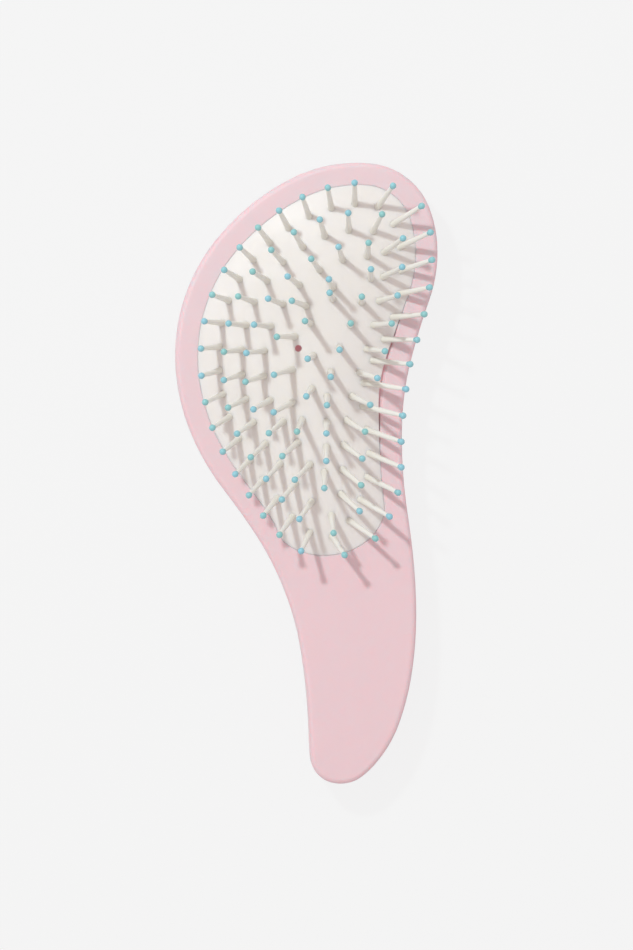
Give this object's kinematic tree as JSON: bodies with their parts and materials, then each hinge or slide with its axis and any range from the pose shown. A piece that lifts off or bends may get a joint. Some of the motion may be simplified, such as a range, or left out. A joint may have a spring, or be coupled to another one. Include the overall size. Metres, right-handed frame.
{
  "type": "paddle brush",
  "caption": "Hand hair brush with a curved one-piece outline, an air cushion in the head and slanting pins that end in ball tips.",
  "frame": {"origin": "middle of the body's outline, on the flat back that it lies on", "axes": "+Z from the back to the pins, +Y from the handle to the head, +X to the right as seen from the pins' side"},
  "size_m": [0.078, 0.185, 0.0379],
  "materials": {
    "pink_shell": "soft-touch matte",
    "cushion_rubber": "satin",
    "pin_nylon": "slightly translucent",
    "tip_turquoise": "glossy"
  },
  "bodies": {
    "brush": {"front_shell": "pink_shell", "back_shell": "pink_shell", "cushion": "cushion_rubber"},
    "pins": {"outer_ring_pins_1": "pin_nylon", "outer_ring_pins_2": "pin_nylon", "outer_ring_pins_3": "pin_nylon", "outer_ring_pins_4": "pin_nylon", "outer_ring_pins_5": "pin_nylon", "second_ring_pins_1": "pin_nylon", "second_ring_pins_2": "pin_nylon", "second_ring_pins_3": "pin_nylon", "second_ring_pins_4": "pin_nylon", "third_ring_pins_1": "pin_nylon", "third_ring_pins_2": "pin_nylon", "third_ring_pins_3": "pin_nylon", "inner_ring_pins_1": "pin_nylon", "inner_ring_pins_2": "pin_nylon", "outer_ring_tips_1": "tip_turquoise", "outer_ring_tips_2": "tip_turquoise", "outer_ring_tips_3": "tip_turquoise", "outer_ring_tips_4": "tip_turquoise", "outer_ring_tips_5": "tip_turquoise", "second_ring_tips_1": "tip_turquoise", "second_ring_tips_2": "tip_turquoise", "second_ring_tips_3": "tip_turquoise", "second_ring_tips_4": "tip_turquoise", "third_ring_tips_1": "tip_turquoise", "third_ring_tips_2": "tip_turquoise", "third_ring_tips_3": "tip_turquoise", "inner_ring_tips_1": "tip_turquoise", "inner_ring_tips_2": "tip_turquoise"}
  },
  "joints": [
    {"name": "cushion_press", "type": "slide", "parent": "brush", "child": "pins", "axis": [0, 0, -1], "range_m": [0, 0.0025], "stiffness_N_per_m": 2000, "deforming": ["cushion"]}
  ]
}
